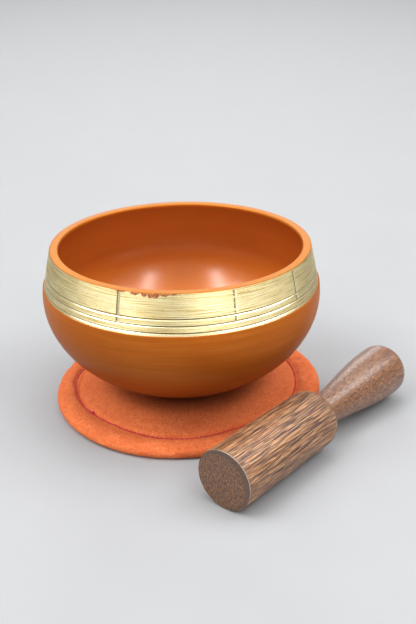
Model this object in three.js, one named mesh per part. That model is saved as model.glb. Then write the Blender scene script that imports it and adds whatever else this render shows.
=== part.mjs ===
// A small painted singing bowl on its stitched felt mat, with its turned hardwood mallet.
// Millimetres, +Z up. The origin is the centre of the mat's underside, on the table.
// The mallet lies on the table to the front right of the mat, its striking face to the front.

import * as THREE from "three";

// ---------------------------------------------------------------- driving dimensions

// Touching pieces keep this gap.
const GAP = 0.3;

// Facets around the turned pieces, and along the curves of their outlines.
const BOWL_SEGMENTS = 60;
const MAT_SEGMENTS = 48;
const MALLET_SEGMENTS = 32;
const LONG_CURVE_STEPS = 11;
const SHORT_CURVE_STEPS = 4;
const ROUND_STEPS = 3;

// Bowl, heights above the table.
const BOWL = {
  offset: -1.6, // it stands a little left of the mat's middle
  base: 8.6, // underside of the foot
  rim: 73.0, // flat top of the rim
  bellyHeight: 51.8, // widest place
  bellyRadius: 59.8,
  bellyDrop: 43.4, // half-height of the ellipse that the lower body follows
  footRadius: 18,
  footBlendRadius: 36, // the ellipse ends here and the blend to the foot starts
  footBlendCorner: [24.8, 11.0], // radius and height of the blend's control point
  lipHeight: 56.6, // top edge of the painted body
  bandFoot: 58.8, // radius of the bare band where it meets the painted body
  rimRadius: 55.5, // radius of the band at the rim
  bandBulge: 0.15, // how far the band's middle stands out from a straight cone
  rimWidth: 3.7,
  rimOuterRound: 0.3,
  rimInnerRound: 0.8,
  cavityRadius: 56.2, // inside, at the widest place
  cavityDrop: 39.6, // inside depth below the widest place
};

// Three V-grooves turned around the bottom of the bare band.
const GROOVE = { count: 3, lowest: 57.5, pitch: 2.7, width: 0.9, depth: 0.42 };

// Mat: radii are nominal, and the hand-cut outline scales them all.
const MAT = {
  radius: 60,
  cover: 0.9, // thickness of the felt
  edgeRound: 2.6, // half-round edge, over which the top cover turns under
  seamRadius: 50,
  seamHeight: 4.1, // bottom of the groove that the seam pulls in
  seamFloor: 0.7, // half-width of the groove's bottom
  seamSlope: 1.8, // width of each of its sides
  padRadius: 31, // where the padding stands highest
  padHeight: 9.2,
  seatRadius: 21, // pressed flat under the bowl's foot
};

// The mat's outline is a little out of round: [lobes, size as a share of the radius, direction].
// The entry with no lobes makes it smaller all round, and the one with a single lobe shifts it back.
const OUTLINE_LOBES = [
  [0, -0.01, 0],
  [1, 0.0446, 88.3],
  [2, 0.0196, 39.4],
  [3, 0.0083, 12],
];

const THREAD_RADIUS = 0.45;

// Mallet, lengths along its axis from the striking face.
const MALLET = {
  headRadius: 12.5,
  headBack: 12.2, // radius at the back end of the head
  edgeBevel: 0.6,
  headLength: 56,
  shoulder: 3.1, // length of the rounded back shoulder
  shoulderDrop: 2.4, // how much narrower the head gets over it
  neckRadius: 6.3,
  knobRadius: 11.45, // widest place of the handle
  knobStart: 110.5,
  length: 118.5,
  flare: 1.75, // exponent of the handle's swelling
  face: [12.1, -89.8], // where the striking face's centre lies, x and y
  heading: 48, // degrees from +X that the handle points to
};

// ---------------------------------------------------------------- outlines

const degrees = THREE.MathUtils.degToRad;
const between = THREE.MathUtils.lerp;
const point = (radius, height) => new THREE.Vector2(radius, height);

// Points along a quarter or less of an ellipse, in the radius and height plane.
function ellipseArc(centre, halfWidth, halfHeight, from, to, steps) {
  const points = [];
  for (let i = 0; i <= steps; i++) {
    const angle = from + ((to - from) * i) / steps;
    points.push(point(centre[0] + halfWidth * Math.cos(angle), centre[1] + halfHeight * Math.sin(angle)));
  }
  return points;
}

// Radius of the bare band at a height: a cone that leans in, with a slight bulge.
function bandRadius(height) {
  const share = (height - BOWL.lipHeight) / (BOWL.rim - BOWL.lipHeight);
  return between(BOWL.bandFoot, BOWL.rimRadius, share) + BOWL.bandBulge * Math.sin(Math.PI * share);
}

// The bowl's wall, up the outside and down the inside.
function bowlOutline() {
  const { base, rim, bellyHeight, bellyRadius, bellyDrop, lipHeight } = BOWL;
  const belly = [0, bellyHeight];
  const blendAngle = -Math.acos(BOWL.footBlendRadius / bellyRadius);
  const lipAngle = Math.asin((lipHeight - bellyHeight) / bellyDrop);
  const body = ellipseArc(belly, bellyRadius, bellyDrop, blendAngle, lipAngle, LONG_CURVE_STEPS);
  const blend = new THREE.QuadraticBezierCurve(
    point(BOWL.footRadius, base),
    point(...BOWL.footBlendCorner),
    body[0],
  ).getPoints(SHORT_CURVE_STEPS);

  const band = [point(BOWL.bandFoot, lipHeight)];
  for (let i = 0; i < GROOVE.count; i++) {
    const middle = GROOVE.lowest + i * GROOVE.pitch;
    band.push(point(bandRadius(middle - GROOVE.width / 2), middle - GROOVE.width / 2));
    band.push(point(bandRadius(middle) - GROOVE.depth, middle));
    band.push(point(bandRadius(middle + GROOVE.width / 2), middle + GROOVE.width / 2));
  }
  band.push(point(bandRadius((rim + band.at(-1).y) / 2), (rim + band.at(-1).y) / 2));

  const outerRound = BOWL.rimOuterRound;
  const innerRound = BOWL.rimInnerRound;
  const innerEdge = BOWL.rimRadius - BOWL.rimWidth;
  const roundMiddle = [innerEdge + innerRound, rim - innerRound];
  const top = [
    point(bandRadius(rim - outerRound), rim - outerRound),
    point(BOWL.rimRadius - outerRound, rim),
    ...ellipseArc(roundMiddle, innerRound, innerRound, Math.PI / 2, Math.PI, ROUND_STEPS),
  ];

  // Inside, the wall leans in above the widest place so that it meets the rim's inner edge.
  const meet = Math.acos(innerEdge / BOWL.cavityRadius);
  const upperRise = (rim - innerRound - bellyHeight) / Math.sin(meet);
  const { cavityRadius, cavityDrop } = BOWL;
  const upper = ellipseArc(belly, cavityRadius, upperRise, meet, 0, SHORT_CURVE_STEPS);
  const floor = ellipseArc(belly, cavityRadius, cavityDrop, 0, -Math.PI / 2, LONG_CURVE_STEPS);
  floor.at(-1).x = 0;
  return [point(0, base), ...blend, ...body.slice(1), ...band, ...top, ...upper.slice(1), ...floor.slice(1)];
}

// Points of a smooth swell between two heights, without its first point.
function swell(fromRadius, fromHeight, toRadius, toHeight) {
  const points = [];
  for (let i = 1; i <= SHORT_CURVE_STEPS; i++) {
    const share = i / SHORT_CURVE_STEPS;
    const rise = (1 - Math.cos(Math.PI * share)) / 2;
    points.push(point(between(fromRadius, toRadius, share), between(fromHeight, toHeight, rise)));
  }
  return points;
}

// The mat's surface from its turned-under hem over the edge to the middle, an inset below the outside.
function matSurface(inset) {
  const { radius, edgeRound, seamRadius, seamFloor, seamSlope, padRadius, seatRadius } = MAT;
  const border = 2 * edgeRound - inset;
  const seam = MAT.seamHeight - inset;
  const pad = MAT.padHeight - inset;
  const seat = BOWL.base - GAP - inset;
  const edge = edgeRound - inset;
  const seamOutside = seamRadius + seamFloor;
  const seamInside = seamRadius - seamFloor;
  return [
    ...ellipseArc([radius - edgeRound, edgeRound], edge, edge, -Math.PI / 2, Math.PI / 2, 2 * ROUND_STEPS),
    point(seamOutside + seamSlope, border),
    point(seamOutside, seam),
    point(seamInside, seam),
    point(seamInside - seamSlope, border),
    ...swell(seamInside - seamSlope, border, padRadius, pad),
    ...swell(padRadius, pad, seatRadius, seat),
    point(0, seat),
  ];
}

function topCoverOutline() {
  return [...matSurface(MAT.cover).reverse(), ...matSurface(0)];
}

// A plain disc inside the top cover's turned-under hem.
function bottomCoverOutline() {
  const edge = MAT.radius - MAT.edgeRound - GAP;
  return [point(0, 0), point(edge, 0), point(edge, MAT.cover), point(0, MAT.cover)];
}

// The wadding fills the space between the covers, a gap clear of both.
function fillingOutline() {
  const inset = MAT.cover + GAP;
  return [point(0, inset), ...matSurface(inset)];
}

// The thread lies in the groove that it has pulled into the cover.
function stitchingOutline() {
  const middle = [MAT.seamRadius, MAT.seamHeight + GAP + THREAD_RADIUS];
  const ring = ellipseArc(middle, THREAD_RADIUS, THREAD_RADIUS, 0, 2 * Math.PI, 2 * ROUND_STEPS);
  ring[ring.length - 1] = ring[0].clone();
  return ring;
}

// One piece of hardwood: a thick head, a rounded shoulder, a thin neck and a swelling handle.
function malletOutline() {
  const { headRadius, headBack, edgeBevel, headLength, shoulder, shoulderDrop, neckRadius } = MALLET;
  const { knobRadius, knobStart, length, flare } = MALLET;
  const shoulderMiddle = [headBack - shoulderDrop, headLength];
  const neck = headLength + shoulder;
  const handle = [];
  for (let i = 0; i <= LONG_CURVE_STEPS; i++) {
    const share = i / LONG_CURVE_STEPS;
    const swelling = Math.sin((Math.PI / 2) * share) ** flare;
    handle.push(point(between(neckRadius, knobRadius, swelling), between(neck, knobStart, share)));
  }
  const endRound = length - knobStart;
  const end = ellipseArc([0, knobStart], knobRadius, endRound, 0, Math.PI / 2, SHORT_CURVE_STEPS).slice(1);
  end.at(-1).x = 0;
  return [
    point(0, 0),
    point(headRadius - edgeBevel, 0),
    point(headRadius, edgeBevel),
    ...ellipseArc(shoulderMiddle, shoulderDrop, shoulder, 0, Math.PI / 2, ROUND_STEPS),
    ...handle,
    ...end,
  ];
}

// ---------------------------------------------------------------- solids

// A turned solid about +Z.
function turned(outline, segments) {
  return new THREE.LatheGeometry(outline, segments).rotateX(Math.PI / 2);
}

// How far the mat's hand-cut outline reaches in a direction, as a share of the nominal radius.
function outlineShare(direction) {
  let share = 1;
  for (const [lobes, size, towards] of OUTLINE_LOBES) {
    share += size * Math.cos(lobes * (direction - degrees(towards)));
  }
  return share;
}

// A turned solid whose plan follows the mat's outline.
function matLayer(outline) {
  const geometry = turned(outline, MAT_SEGMENTS);
  const position = geometry.attributes.position;
  for (let i = 0; i < position.count; i++) {
    const x = position.getX(i);
    const y = position.getY(i);
    const share = outlineShare(Math.atan2(y, x));
    position.setXY(i, x * share, y * share);
  }
  geometry.computeVertexNormals();
  return geometry;
}

function piece(name, geometry, color, roughness, metalness) {
  const mesh = new THREE.Mesh(geometry, new THREE.MeshStandardMaterial({ color, roughness, metalness }));
  mesh.name = name;
  return mesh;
}

function makeBowl() {
  const bowl = piece("bowl", turned(bowlOutline(), BOWL_SEGMENTS), "#c05a20", 0.3, 0.4);
  bowl.position.setX(BOWL.offset);
  return bowl;
}

function makeMat() {
  const mat = new THREE.Group();
  mat.add(
    piece("mat_bottom_cover", matLayer(bottomCoverOutline()), "#c8582f", 0.95, 0),
    piece("mat_filling", matLayer(fillingOutline()), "#e8e0d0", 1, 0),
    piece("mat_top_cover", matLayer(topCoverOutline()), "#d96c3d", 0.95, 0),
    piece("mat_stitching", matLayer(stitchingOutline()), "#b8323c", 0.8, 0),
  );
  return mat;
}

// The mallet lies on its head, with its axis level.
function makeMallet() {
  const geometry = turned(malletOutline(), MALLET_SEGMENTS).rotateY(Math.PI / 2);
  const mallet = piece("mallet", geometry, "#6b4430", 0.55, 0);
  const [x, y] = MALLET.face;
  const flatUnderside = Math.cos(Math.PI / MALLET_SEGMENTS);
  mallet.position.set(x, y, MALLET.headRadius * flatUnderside);
  mallet.rotation.set(Math.PI / MALLET_SEGMENTS, 0, degrees(MALLET.heading), "ZYX");
  return mallet;
}

const singingBowl = new THREE.Group();
singingBowl.name = "singing_bowl";
singingBowl.add(makeBowl(), makeMat(), makeMallet());

export default singingBowl;
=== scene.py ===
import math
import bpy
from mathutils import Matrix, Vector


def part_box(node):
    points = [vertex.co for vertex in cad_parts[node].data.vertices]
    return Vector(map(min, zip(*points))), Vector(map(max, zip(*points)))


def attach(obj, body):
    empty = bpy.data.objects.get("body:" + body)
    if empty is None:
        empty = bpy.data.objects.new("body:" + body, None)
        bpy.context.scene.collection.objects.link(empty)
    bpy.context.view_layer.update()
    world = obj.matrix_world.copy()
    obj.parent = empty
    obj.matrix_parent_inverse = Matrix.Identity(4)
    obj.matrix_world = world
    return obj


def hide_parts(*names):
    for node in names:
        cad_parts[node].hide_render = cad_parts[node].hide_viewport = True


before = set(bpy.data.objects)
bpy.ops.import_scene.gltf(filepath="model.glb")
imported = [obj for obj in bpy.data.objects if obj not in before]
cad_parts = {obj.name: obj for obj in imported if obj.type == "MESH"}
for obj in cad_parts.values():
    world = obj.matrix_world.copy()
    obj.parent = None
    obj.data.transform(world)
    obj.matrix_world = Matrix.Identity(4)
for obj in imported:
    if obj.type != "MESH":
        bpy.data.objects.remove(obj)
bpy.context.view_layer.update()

# A small painted singing bowl on its stitched felt mat, with its turned hardwood mallet.
# Shapes are worked out in millimetres and made in metres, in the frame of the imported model.

from types import SimpleNamespace

import bpy
import numpy as np
from mathutils import Matrix, Vector

MM = 0.001


def box_mm(node):
    low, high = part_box(node)
    return np.array(low) / MM, np.array(high) / MM


# ---- driving dimensions (mm)

BOWL_LOW, BOWL_HIGH = box_mm("bowl")

BOWL = SimpleNamespace(
    middle=(BOWL_LOW[0] + BOWL_HIGH[0]) / 2,
    base=BOWL_LOW[2],
    rim=BOWL_HIGH[2],
    belly_height=51.8,
    belly_radius=(BOWL_HIGH[0] - BOWL_LOW[0]) / 2,
    belly_drop=43.4,
    foot_radius=18.0,
    foot_blend_radius=36.0,
    foot_blend_corner=(24.8, 11.0),
    lip_height=56.6,
    lip_round=0.16,
    band_foot=58.8,
    rim_radius=55.5,
    band_bulge=0.15,
    rim_width=3.7,
    rim_outer_round=0.3,
    rim_inner_round=0.9,
    cavity_radius=56.2,
    cavity_drop=39.6,
)
GROOVE = SimpleNamespace(count=3, lowest=57.5, pitch=2.7, width=0.9, depth=0.42)
BOWL_COLUMNS = 256
BAND_STEP = 0.06
# The bowl's materials, in the order of its material slots.
OUTSIDE, BRASS, CUT_HIGHLIGHT, INSIDE, TARNISH_SHADE, NICK_SHADE = range(6)

# Upright nicks that the turning tool left across the band: direction in degrees, depth, share dashed.
NICKS = [(-115.2, 0.13, 0.2), (-68.9, 0.14, 0.5), (-37.6, 0.06, 0.3)]
NICK_WIDTH = 1.8

# Left-over lacquer hanging from the rim: direction in degrees, half-width in degrees, depth.
CHIPS = [(-114.6, 2.8, 0.55), (-108.4, 2.2, 1.1), (-104.6, 1.3, 1.6)]
CHIPS += [(-100.8, 2.4, 2.5), (-96.6, 1.6, 1.4), (-93.6, 2.2, 0.6)]
CHIP_THICKNESS = 0.1
# How ragged their lower edge is: blobs to the degree, share of the depth, seed.
CHIP_RAGGEDNESS = [(0.7, 0.19355, 31), (1.421, 0.10645, 48), (2.2, 0.12, 33)]

MAT = SimpleNamespace(
    radius=60.0,
    cover=0.9,
    edge_round=2.6,
    seam_radius=50.0,
    seam_depth=1.15,
    seam_half_width=1.5,
    pad_radius=31.0,
    pad_height=9.0,
    seat_radius=21.0,
)
SEAT_HEIGHT = BOWL.base - 0.3
# The mat's outline, a little out of round: lobes, share of the radius, direction in degrees.
OUTLINE_LOBES = [(0, -0.01, 0.0), (1, 0.0446, 88.3), (2, 0.0196, 39.4), (3, 0.0083, 12.0)]
# Where the hand-guided seam drifts off its circle: direction and half-width in degrees, and how far out.
SEAM_DRIFTS = [(-188.0, 22.0, 2.0), (-128.0, 25.0, -1.7), (-64.0, 20.0, -1.5), (0.0, 26.0, -1.0)]
# The bottom cover's edge, inside the top cover's turned-under hem.
CUT_RADIUS = MAT.radius - MAT.edge_round - 0.3
# Soft creases in the felt: radius, its lean towards +x, start and end direction in degrees, width, depth.
CREASES = [(49.2, -0.4, -205, -147, 0.55, 0.5), (45.9, 0, -92, -76, 0.5, 0.3)]
CREASES += [(54.6, 0, -30, 12, 1.2, 0.15)]
# The felt as a cloth in the swelling simulation, at twenty times life size, and how far a point may move.
CLOTH = dict(quality=6, mass=0.4, tension_stiffness=12, compression_stiffness=12, shear_stiffness=6)
CLOTH |= dict(bending_stiffness=1.2, shrink_min=-0.004, use_pressure=True, uniform_pressure_force=1.6)
CLOTH_SCALE = 20.0
CLOTH_STEPS = 24
SWELL_CAP = 0.7
MAT_COLUMNS = 480
CLOTH_COLUMNS = 160
STITCHES = 144
THREAD_PLY = 0.18
KNOT_DIRECTION = -149.6
FELT_FIBRES = 420

MALLET = SimpleNamespace(
    head_radius=12.5,
    head_back=12.2,
    edge_bevel=0.6,
    head_length=56.0,
    shoulder=3.1,
    shoulder_drop=2.4,
    neck_radius=6.3,
    knob_radius=11.45,
    knob_start=110.5,
    length=118.5,
    flare=1.75,
    face=(12.1, -89.8),
    heading=48.0,
)
# The crescent on the striking face: how far its inner arc's middle is shifted both ways, and the radius.
CRESCENT = (1.15, 11.1)
MALLET_COLUMNS = 448
MALLET_STEP = 0.45


# ---- numbers

def lattice(x, y, z, seed):
    """A repeatable number from -1 to 1 at each whole-numbered place."""
    n = (x * 374761393 + y * 668265263 + z * 1440670441 + seed * 362437) & 0xFFFFFFFF
    n = ((n ^ (n >> 13)) * 1274126177) & 0xFFFFFFFF
    return ((n ^ (n >> 16)) & 0xFFFF) / 32767.5 - 1


def noise(x, y, z, seed):
    """Smooth noise from -1 to 1, about one blob to each unit."""
    x, y, z = np.broadcast_arrays(x, y, z)
    cell = [np.floor(v).astype(np.int64) for v in (x, y, z)]
    share = [v - c for v, c in zip((x, y, z), cell)]
    share = [s * s * (3 - 2 * s) for s in share]
    total = 0
    for corner in np.ndindex(2, 2, 2):
        weight = math.prod(s if side else 1 - s for s, side in zip(share, corner))
        total = total + weight * lattice(*(c + side for c, side in zip(cell, corner)), seed)
    return total


def between(low, high, share):
    return low + (high - low) * share


def smooth(low, high, value):
    """0 below low, 1 above high, and an even curve between them."""
    share = np.clip((value - low) / (high - low), 0, 1)
    return share * share * (3 - 2 * share)


def bell(away, wide):
    """1 at nothing, and falling away evenly to both sides."""
    return np.exp(-((away / wide) ** 2))


def degrees_past(towards, direction):
    """How far a direction in radians is past one in degrees, from -180 to 180 degrees."""
    return (np.degrees(direction) - towards + 180) % 360 - 180


def round_noise(scale, direction, along, seed):
    """Noise that goes round the axis and meets itself again."""
    return noise(scale * np.cos(direction), scale * np.sin(direction), along, seed)


def ellipse_arc(middle, half_width, half_height, start, end, steps):
    angle = np.linspace(start, end, steps + 1)
    return np.stack([middle[0] + half_width * np.cos(angle), middle[1] + half_height * np.sin(angle)], 1)


def level(start, end, count, height):
    """(radius, height) at even steps from one radius to another."""
    return np.stack([np.linspace(start, end, count), np.full(count, float(height))], 1)


def unit(vectors):
    return vectors / np.maximum(np.linalg.norm(vectors, axis=-1, keepdims=True), 1e-9)


def resample(grid, count, axis, wraps):
    """Smooth in-between rows, a Catmull-Rom curve through the grid's own rows along one axis."""
    grid = np.moveaxis(grid, axis, 0)
    rows = len(grid)
    at = np.arange(count) * rows / count if wraps else np.linspace(0, rows - 1, count)
    first = np.minimum(np.floor(at).astype(int), rows - 1 if wraps else rows - 2)
    t = (at - first).reshape([-1] + [1] * (grid.ndim - 1))

    def row(offset):
        index = first + offset
        return grid[index % rows] if wraps else grid[np.clip(index, 0, rows - 1)]

    a, b, c, d = row(-1), row(0), row(1), row(2)
    curve = b + 0.5 * t * (c - a + t * (2 * a - 5 * b + 4 * c - d + t * (3 * (b - c) + d - a)))
    return np.moveaxis(curve, 0, axis)


def grid_normals(grid):
    """Unit normals of a grid of points, rows by columns, whose columns go all the way round.
    They point up where the rows run outwards."""
    across = np.gradient(grid, axis=0)
    around = np.roll(grid, -1, axis=1) - np.roll(grid, 1, axis=1)
    return unit(np.cross(across, around))


# ---- meshes

def added(name, data):
    """A new object in the scene."""
    made = bpy.data.objects.new(name, data)
    bpy.context.scene.collection.objects.link(made)
    return made


def read(items, name):
    """A property of three numbers of each of a mesh's vertices or faces."""
    values = np.zeros(len(items) * 3)
    items.foreach_get(name, values)
    return values.reshape(-1, 3)


def mesh_object(name, points, faces, materials, slots=None):
    """A smooth-shaded mesh from points in millimetres."""
    mesh = bpy.data.meshes.new(name)
    mesh.from_pydata((np.asarray(points) * MM).tolist(), [], faces)
    for material in materials:
        mesh.materials.append(material)
    if slots is not None:
        mesh.polygons.foreach_set("material_index", np.asarray(slots, np.int32))
    mesh.polygons.foreach_set("use_smooth", [True] * len(mesh.polygons))
    mesh.update()
    return added(name, mesh)


def ring_faces(rows, columns, start=0):
    """Quads between neighbouring rings of points, each ring closed on itself."""
    row, column = np.meshgrid(np.arange(rows - 1), np.arange(columns), indexing="ij")
    here = start + row * columns + column
    beside = start + row * columns + (column + 1) % columns
    return np.stack([here, beside, beside + columns, here + columns], -1).reshape(-1, 4).tolist()


def fan(centre, ring, flip):
    """Triangles from one point to a ring of points."""
    pairs = zip(ring, ring[1:] + ring[:1])
    return [(centre, b, a) if flip else (centre, a, b) for a, b in pairs]


def even_directions(columns):
    return np.arange(columns) * math.tau / columns


def polar(radius, direction, height):
    """Points from their distance from the axis, direction and height."""
    return np.stack(np.broadcast_arrays(radius * np.cos(direction), radius * np.sin(direction), height), -1)


def closed_rings(rings, first_height, last_height):
    """Points and faces of rings of points, closed at both ends by a fan to a point on the axis."""
    rows, columns = rings.shape[:2]
    count = rows * columns
    points = np.vstack([rings.reshape(-1, 3), [[0, 0, first_height], [0, 0, last_height]]])
    faces = ring_faces(rows, columns) + fan(count, list(range(columns)), True)
    return points, faces + fan(count + 1, list(range(count - columns, count)), False)


def lathe(name, profile, direction, materials, row_slots, shift):
    """Turns a profile of (radius, height) about +Z. The profile starts and ends on the axis, and
    row_slots holds the material slot of each stretch of it.
    shift(radius, height, direction) gives how far to move each point along the radius and the height."""
    columns = len(direction)
    radius = np.repeat(profile[1:-1, 0:1], columns, 1)
    height = np.repeat(profile[1:-1, 1:2], columns, 1)
    out, up = shift(radius, height, direction[None, :])
    radius, height = radius + out, height + up
    points, faces = closed_rings(polar(radius, direction, height), profile[0, 1], profile[-1, 1])
    slots = np.repeat(row_slots[1 : len(profile) - 2], columns).tolist()
    slots += [row_slots[0]] * columns + [row_slots[-1]] * columns
    return mesh_object(name, points, faces, materials, slots)


def tube_points(path, radius, sides):
    """Rings of points round a path, carried along it without twisting."""
    path = np.asarray(path, float)
    along = unit(np.gradient(path, axis=0))
    side = unit(np.cross(along[0], [0.31, 0.17, 0.93]))
    rings = []
    angle = even_directions(sides)
    for place, forward, size in zip(path, along, np.broadcast_to(radius, len(path))):
        side = unit(side - forward * np.dot(side, forward))
        other = np.cross(forward, side)
        rings.append(place + size * (np.cos(angle)[:, None] * side + np.sin(angle)[:, None] * other))
    return np.array(rings)


def add_rings(points, faces, rings):
    """Adds rings of points, closed by a flat face at each end, to lists of points and faces."""
    start, sides = len(points), rings.shape[1]
    points.extend(rings.reshape(-1, 3).tolist())
    faces.extend(ring_faces(len(rings), sides, start))
    faces.append(list(range(start, start + sides))[::-1])
    last = start + (len(rings) - 1) * sides
    faces.append(list(range(last, last + sides)))


def add_tube(points, faces, path, radius, sides):
    add_rings(points, faces, tube_points(path, radius, sides))


# ---- materials

def colour(text):
    """Linear colour from #rrggbb."""
    parts = [int(text[i : i + 2], 16) / 255 for i in (1, 3, 5)]
    return [c / 12.92 if c <= 0.04045 else ((c + 0.055) / 1.055) ** 2.4 for c in parts] + [1]


def set_stops(ramp, stops):
    """Sets a ramp node's colours or greys at places from 0 to 1."""
    elements = ramp.color_ramp.elements
    while len(elements) < len(stops):
        elements.new(0.5)
    for element, (place, shade) in zip(elements, stops):
        element.position = place
        element.color = colour(shade) if isinstance(shade, str) else [shade] * 3 + [1]


class Recipe:
    """A material's node tree, with short calls for the nodes that recur."""

    def __init__(self, name, **shader):
        self.material = bpy.data.materials.new(name)
        self.material.use_nodes = True
        self.tree = self.material.node_tree
        self.shader = self.tree.nodes["Principled BSDF"]
        for socket, value in shader.items():
            self.shader.inputs[socket.replace("_", " ")].default_value = value
        self.place = self.node("ShaderNodeTexCoord").outputs["Object"]

    def node(self, kind, inputs=(), **settings):
        made = self.tree.nodes.new(kind)
        for key, value in settings.items():
            setattr(made, key, value)
        for socket, value in dict(inputs).items():
            if isinstance(value, bpy.types.NodeSocket):
                self.tree.links.new(value, made.inputs[socket])
            else:
                made.inputs[socket].default_value = value
        return made

    def link(self, value, socket):
        self.tree.links.new(value, self.shader.inputs[socket])

    def finish(self, base, roughness, normal):
        """Links the colour, the roughness and the bumps, and returns the material."""
        self.link(base, "Base Color")
        self.link(roughness, "Roughness")
        self.link(normal, "Normal")
        return self.material

    def stretched(self, scale, offset=(0, 0, 0)):
        """The object's own coordinates, with this many blobs to the millimetre along x, y and z."""
        inputs = {"Vector": self.place, "Scale": [s / MM for s in scale], "Location": offset}
        return self.node("ShaderNodeMapping", inputs).outputs[0]

    def noise(self, scale, detail=3.0, rough=0.55, offset=(0, 0, 0), distort=0.0):
        inputs = {"Vector": self.stretched(scale, offset), "Scale": 1.0, "Detail": detail}
        inputs |= {"Roughness": rough, "Distortion": distort}
        return self.node("ShaderNodeTexNoise", inputs).outputs["Fac"]

    def ramp(self, value, stops):
        """Colours or greys at places from 0 to 1."""
        made = self.node("ShaderNodeValToRGB", {"Fac": value})
        set_stops(made, stops)
        return made.outputs["Color"]

    def math(self, operation, a, b=0.0):
        return self.node("ShaderNodeMath", {0: a, 1: b}, operation=operation).outputs[0]

    def mix(self, share, a, b, blend="MIX"):
        a, b = (colour(shade) if isinstance(shade, str) else shade for shade in (a, b))
        inputs = {0: share, 6: a, 7: b}
        return self.node("ShaderNodeMix", inputs, data_type="RGBA", blend_type=blend).outputs[2]

    def span(self, value, low, high, to_low, to_high):
        inputs = {"Value": value, 1: low, 2: high, 3: to_low, 4: to_high}
        return self.node("ShaderNodeMapRange", inputs).outputs[0]

    def tinted(self, base, *tints):
        """Mixes tints over a base. Each says what it follows, between which values of that, its share at
        both, and its colour."""
        for follows, low, high, to_low, to_high, shade in tints:
            base = self.mix(self.span(follows, low, high, to_low, to_high), base, shade)
        return base

    def bump(self, height, distance, strength=1.0, under=None):
        inputs = {"Height": height, "Distance": distance * MM, "Strength": strength}
        if under is not None:
            inputs["Normal"] = under
        return self.node("ShaderNodeBump", inputs).outputs[0]

    def axis(self, name):
        return self.node("ShaderNodeSeparateXYZ", {0: self.place}).outputs[name]

    def attribute(self, name):
        return self.node("ShaderNodeAttribute", attribute_name=name).outputs["Fac"]

    def off_axis(self, scale, offset=(0, 0, 0)):
        """Distance from a line, in millimetres where the scale is 1."""
        place = self.stretched(scale, offset)
        return self.node("ShaderNodeVectorMath", {0: place}, operation="LENGTH").outputs["Value"]

    def turned(self):
        """Stretches highlights across the lathe's rings."""
        self.link(self.node("ShaderNodeTangent", direction_type="RADIAL", axis="Z").outputs[0], "Tangent")


# Plain materials: scale of the pattern, its colours, the roughness at its low and its high end, depth and
# strength of its bumps, and what else the pattern and the shader need.
PLAIN = dict(
    # The cut grooves' lower flanks and the nicks' right flanks: freshly turned brass with less patina than
    # the band, made paler as a painted highlight.
    groove_brass_painted_highlight=(
        (0.04, 0.04, 6.0), [(0.3, "#e6d595"), (0.6, "#fdf6d2")], (0.36, 0.24), (0.05, 0.5),
        dict(turned=True, Metallic=1.0, Anisotropic=0.5, Anisotropic_Rotation=0.25),
    ),
    # Dark brass under the grooves' upper edges, on their downward-facing flanks: tarnish, and painted
    # shade.
    tarnished_brass_painted_shade=(
        (1.1, 1.1, 2.6), [(0.3, "#40331a"), (0.5, "#6e5a30"), (0.72, "#a8924f")],
        (0.7, 0.5), (0.06, 0.6), dict(Metallic=0.9),
    ),
    # Brass on the nicks' left flanks, rougher, and darker as painted shade.
    nick_brass_painted_shade=(
        (1.4, 1.4, 2.2), [(0.3, "#6f5e33"), (0.5, "#9c8a56"), (0.7, "#c9b67c")],
        (0.65, 0.5), (0.05, 0.5), dict(Metallic=1.0),
    ),
    # Left-over lacquer, cracked and scorched by the turning tool.
    lacquer_remnant=(
        (1.1, 1.1, 1.3), [(0.32, "#5c2a0e"), (0.46, "#9a5222"), (0.58, "#be7438"), (0.68, "#e2c690")],
        (0.6, 0.4), (0.15, 0.8), dict(rough=0.65, Metallic=0.1, Coat_Weight=0.3, Coat_Roughness=0.3),
    ),
    # Loose undyed wool.
    undyed_wadding=(
        (0.5, 0.5, 0.5), [(0.3, "#b9ad97"), (0.6, "#e4dcc9")], (1.0, 0.9), (0.6, 0.8),
        dict(detail=5, rough=0.55, distort=1.0, Sheen_Weight=0.3, Specular_IOR_Level=0.1),
    ),
    # Sewing thread, a little linty.
    crimson_thread=(
        (3.5, 3.5, 3.5), [(0.3, "#97182a"), (0.55, "#cb2d3f"), (0.75, "#e2555f")], (0.7, 0.5), (0.06, 0.7),
        dict(detail=3, rough=0.55, distort=1.0, Sheen_Weight=0.2, Specular_IOR_Level=0.3),
    ),
)


def plain_material(name):
    """One of the plain materials."""
    scale, stops, roughness, bump, other = PLAIN[name]
    return patterned(name, scale, stops, roughness, bump, **other)


def patterned(
    name, scale, stops, roughness, bump, detail=4, rough=0.6, distort=0.0, turned=False, **shader
):
    """A material whose one pattern sets its colour, its roughness and its bumps."""
    r = Recipe(name, **shader)
    pattern = r.noise(scale, detail, rough, distort=distort)
    if turned:
        r.turned()
    return r.finish(r.ramp(pattern, stops), r.span(pattern, 0.3, 0.7, *roughness), r.bump(pattern, *bump))


def lacquer(name, tint, streak_strength, **shader):
    """Orange lacquer brushed round the bowl, streaky and cloudy: its recipe, colour and streaks."""
    r = Recipe(name, Specular_IOR_Level=0.1, Specular_Tint=tint, **shader)
    streaks = r.noise((0.02, 0.02, 1.3), detail=4)
    clouds = r.noise((0.045, 0.045, 0.06), detail=3)
    speckle = r.noise((1.6, 1.6, 2.6), detail=2)
    base = r.ramp(streaks, [(0.3, "#ad5a17"), (0.52, "#bb6720"), (0.74, "#c8742a")])
    base = r.mix(streak_strength, "#bb6720", base)
    tints = (clouds, 0.35, 0.68, 0, 0.5, "#ad5814"), (speckle, 0.62, 0.8, 0, 0.3, "#93460f")
    return r, r.tinted(base, *tints), streaks


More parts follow.
